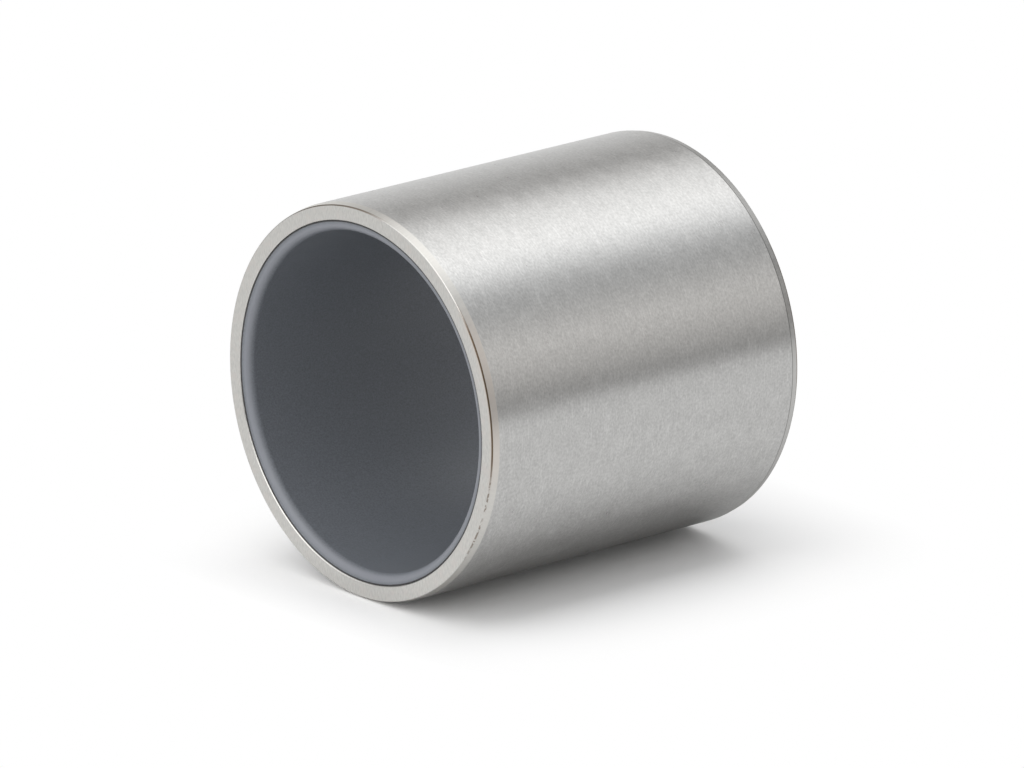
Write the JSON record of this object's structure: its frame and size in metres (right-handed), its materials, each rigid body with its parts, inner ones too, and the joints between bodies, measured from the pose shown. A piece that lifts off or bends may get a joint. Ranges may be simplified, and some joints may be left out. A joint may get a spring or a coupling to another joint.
{
  "type": "sleeve bearing",
  "caption": "Plain sleeve bearing: a straight steel sleeve with shallow outer lead-in chamfers, lined with a dark polymer running surface with rounded lips.",
  "frame": {"origin": "centre of the bottom end face, on the bearing's axis", "axes": "+Z along the bore, from the bottom end face to the top one; X and Y are any two directions across the bore"},
  "size_m": [0.07, 0.07, 0.07],
  "materials": {
    "steel": "satin, ground outside with fine marks round it, turned end faces",
    "liner": "matte, dark slate grey with a fine speckle"
  },
  "bodies": {
    "root": {"outer_sleeve": "steel", "bearing_liner": "liner"}
  },
  "joints": []
}
